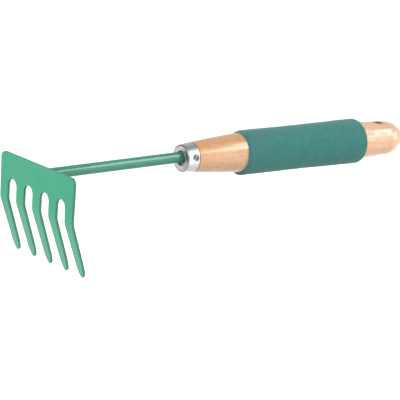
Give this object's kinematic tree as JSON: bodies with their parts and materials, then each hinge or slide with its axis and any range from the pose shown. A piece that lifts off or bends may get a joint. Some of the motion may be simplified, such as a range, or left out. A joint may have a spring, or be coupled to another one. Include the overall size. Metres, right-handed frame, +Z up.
{
  "type": "hand rake",
  "caption": "Short hand rake: bent sheet-steel head with tapered tines on a round shaft, ferruled wooden handle with a foam grip sleeve and a hanging hole.",
  "frame": {"origin": "under the middle of the overall box, level with the tips of the tines", "axes": "+X along the tool from the head to the butt of the handle, +Y across the head, +Z up with the tines pointing down"},
  "size_m": [0.3276, 0.0904, 0.0838],
  "materials": {
    "green_paint": "satin paint on sheet steel",
    "green_paint_shaft": "glossy paint on steel bar",
    "green_paint_weld": "satin paint over a weld",
    "nickel_plate": "bright nickel plate",
    "nail_steel": "plain steel",
    "varnished_wood": "clear varnish on turned hardwood",
    "green_foam": "matte closed-cell foam"
  },
  "bodies": {
    "root": {"rake_head": "green_paint", "shaft": "green_paint_shaft", "weld_bead": "green_paint_weld", "ferrule": "nickel_plate", "ferrule_nail": "nail_steel", "handle": "varnished_wood", "grip": "green_foam"}
  },
  "joints": []
}
